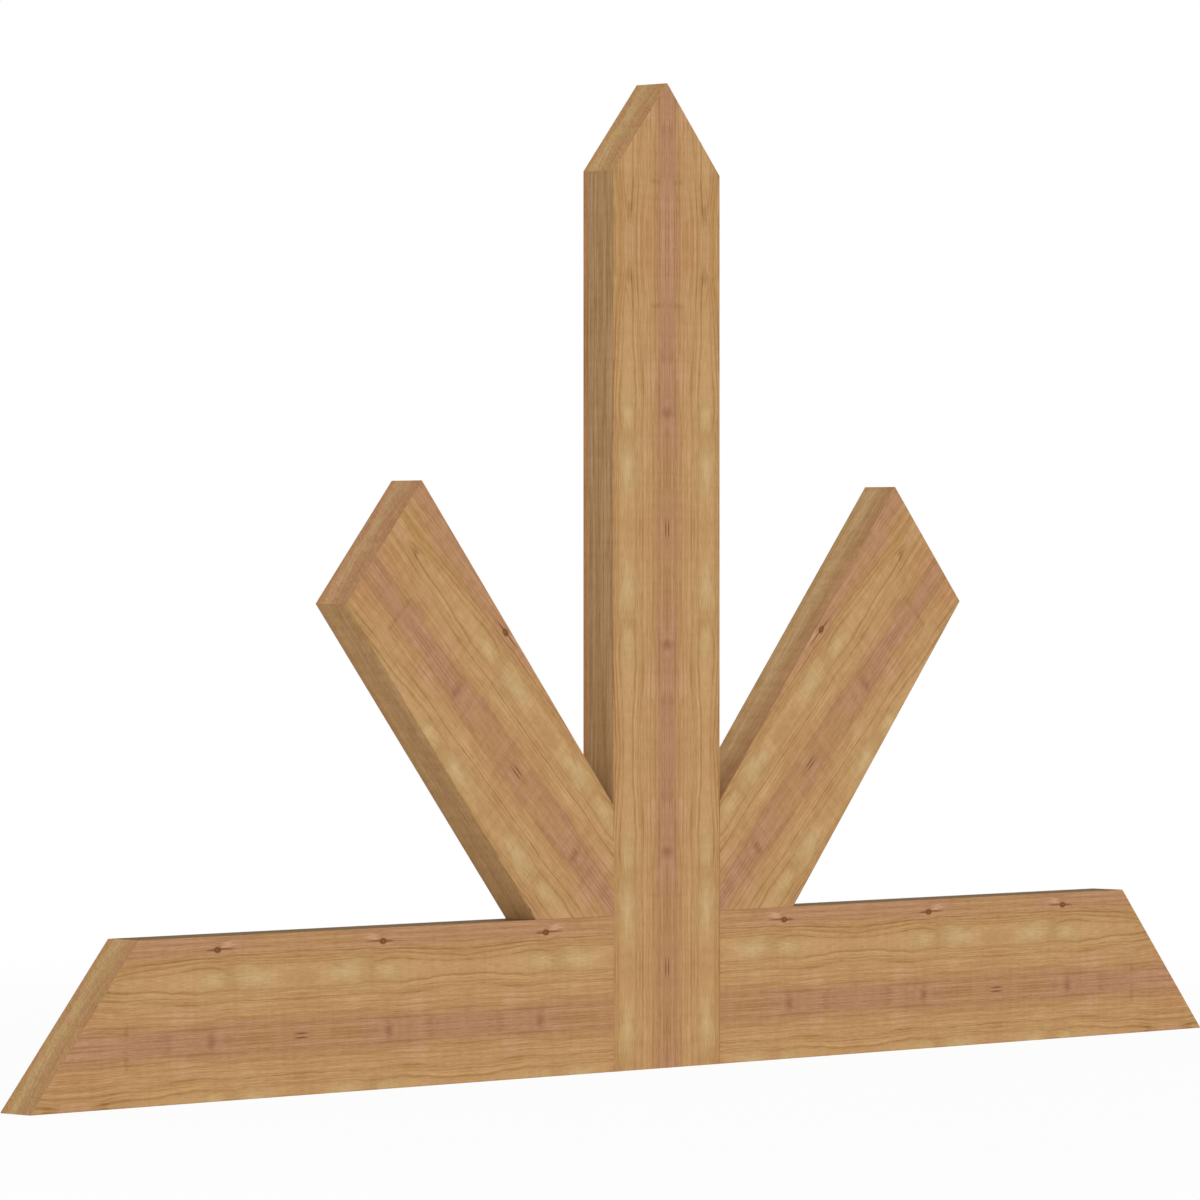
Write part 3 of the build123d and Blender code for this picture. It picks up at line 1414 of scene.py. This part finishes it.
@dataclass
class Studio:
    """The plain studio: a level camera, soft light and a white floor. Lengths are in metres.

    Attributes:
        camera_place: Where the camera stands.
        camera_turn: Its turn about the vertical, in radians.
        lens: Its focal length in millimetres.
        sensor: The width of its sensor in millimetres.
        lift: Its vertical shift, as a share of the picture.
        sight: How far it sees.
        sky_level: The light from near the horizon.
        zenith_level: The light from overhead.
        sky_low: The elevation at which the sky starts to darken, in radians.
        sky_high: The elevation at which it has darkened.
        key_level: The share of a full white that the front lamp adds to the front.
        key_elevation: The front lamp's elevation, in radians.
        key_turn: How far to the right of the front it stands, in radians.
        key_spread: How broad it is, in radians.
        floor_size: The floor's width.
        floor_grey: How much the floor reflects.
        shadow_share: How much of the floor's shadow shows near the object.
        shadow_fade: How far from the middle the shadow starts to fade, and where it has gone.
    """
    camera_place: Triple = (-4.49448, -4.27543, 0.44511)
    camera_turn: float = radians(-45.997)
    lens: float = 205.68
    sensor: float = 36.0
    lift: float = -0.02098
    sight: float = 200.0
    sky_level: float = 1.26
    zenith_level: float = 0.12
    sky_low: float = radians(20)
    sky_high: float = radians(60)
    key_level: float = 0.27
    key_elevation: float = radians(35)
    key_turn: float = radians(-12)
    key_spread: float = radians(40)
    floor_size: float = 60.0
    floor_grey: float = 0.8
    shadow_share: float = 0.05
    shadow_fade: Point = (0.9, 2.2)

    def build(self) -> None:
        """Sets up the camera, the light and the floor."""
        self._add_camera()
        self._add_sky()
        self._add_key()
        self._add_floor()
        bpy.context.scene.view_settings.view_transform = "Standard"

    def _add_camera(self) -> None:
        """Stands the camera where the photograph was taken from."""
        bpy.ops.object.camera_add(location=self.camera_place, rotation=(pi / 2, 0, self.camera_turn))
        camera = bpy.context.object
        camera.data.lens = self.lens
        camera.data.sensor_width = self.sensor
        camera.data.shift_y = self.lift
        camera.data.clip_end = self.sight
        bpy.context.scene.camera = camera

    def _add_sky(self) -> None:
        """Lights the object from all round, less from overhead, and shows white behind it."""
        world = bpy.data.worlds.new("studio_sky")
        bpy.context.scene.world = world
        world.use_nodes = True
        bench = ShaderBench(world.node_tree)
        height = bench.separate(bench.add("ShaderNodeTexCoord", {}).outputs["Generated"])[2]
        level = height.eased(sin(self.sky_low), sin(self.sky_high), self.sky_level, self.zenith_level)
        light = bench.add("ShaderNodeBackground", {"Color": WHITE, "Strength": level})
        white = bench.add("ShaderNodeBackground", {"Color": WHITE, "Strength": 1.0})
        shown = self._shown(bench)
        mixed = bench.add("ShaderNodeMixShader", {0: shown, 1: light.outputs[0], 2: white.outputs[0]})
        bench.add("ShaderNodeOutputWorld", {"Surface": mixed.outputs[0]})

    def _shown(self, bench: ShaderBench) -> Wire:
        """Tells what is seen directly, in a gloss or through glass.

        Args:
            bench: The bench to add the nodes on.

        Returns:
            A share of 1 for it and 0 for what only sheds light.
        """
        path = bench.add("ShaderNodeLightPath", {}).outputs
        shown = Wire(bench, path["Is Camera Ray"]).at_least(Wire(bench, path["Is Glossy Ray"]))
        return shown.at_least(Wire(bench, path["Is Transmission Ray"]))

    def _add_key(self) -> None:
        """Adds the broad lamp in front of the object."""
        bpy.ops.object.light_add(type="SUN", rotation=(pi / 2 - self.key_elevation, 0, self.key_turn))
        lamp = bpy.context.object.data
        # A sun of strength pi lights a white face that looks straight at it to a full white.
        lamp.energy = self.key_level * pi / (cos(self.key_elevation) * cos(self.key_turn))
        lamp.angle = self.key_spread

    def _add_floor(self) -> None:
        """Lays a white floor that keeps a little of the object's shadow and fades to plain white."""
        bpy.ops.mesh.primitive_plane_add(size=self.floor_size)
        floor = bpy.context.object
        floor.name = floor.data.name = "studio_floor"
        material, bench = new_material("white_floor")
        place = bench.add("ShaderNodeTexCoord", {}).outputs["Object"]
        away = bench.add("ShaderNodeVectorMath", {0: place}, operation="LENGTH").outputs["Value"]
        keep = Wire(bench, away).eased(*self.shadow_fade, self.shadow_share, 0.0)
        lit = bench.add("ShaderNodeBsdfDiffuse", {"Color": (self.floor_grey,) * 3 + (1,)})
        white = bench.add("ShaderNodeEmission", {"Color": WHITE, "Strength": 1.0})
        seen = self._shown(bench) * (1.0 - keep)
        mixed = bench.add("ShaderNodeMixShader", {0: seen, 1: lit.outputs[0], 2: white.outputs[0]})
        bench.add("ShaderNodeOutputMaterial", {"Surface": mixed.outputs[0]})
        floor.data.materials.append(material)


def main() -> None:
    """Builds the studio and the bracket's boards in order."""
    logging.basicConfig(level=logging.INFO, format="%(name)s: %(message)s")
    sizes = BracketSizes.from_frame()
    for part in (Studio(), KingPost(sizes), BottomChord(sizes), StrutPair(sizes)):
        part.build()
        LOG.info("%s is built", type(part).__name__)


if __name__ == "__main__":
    main()
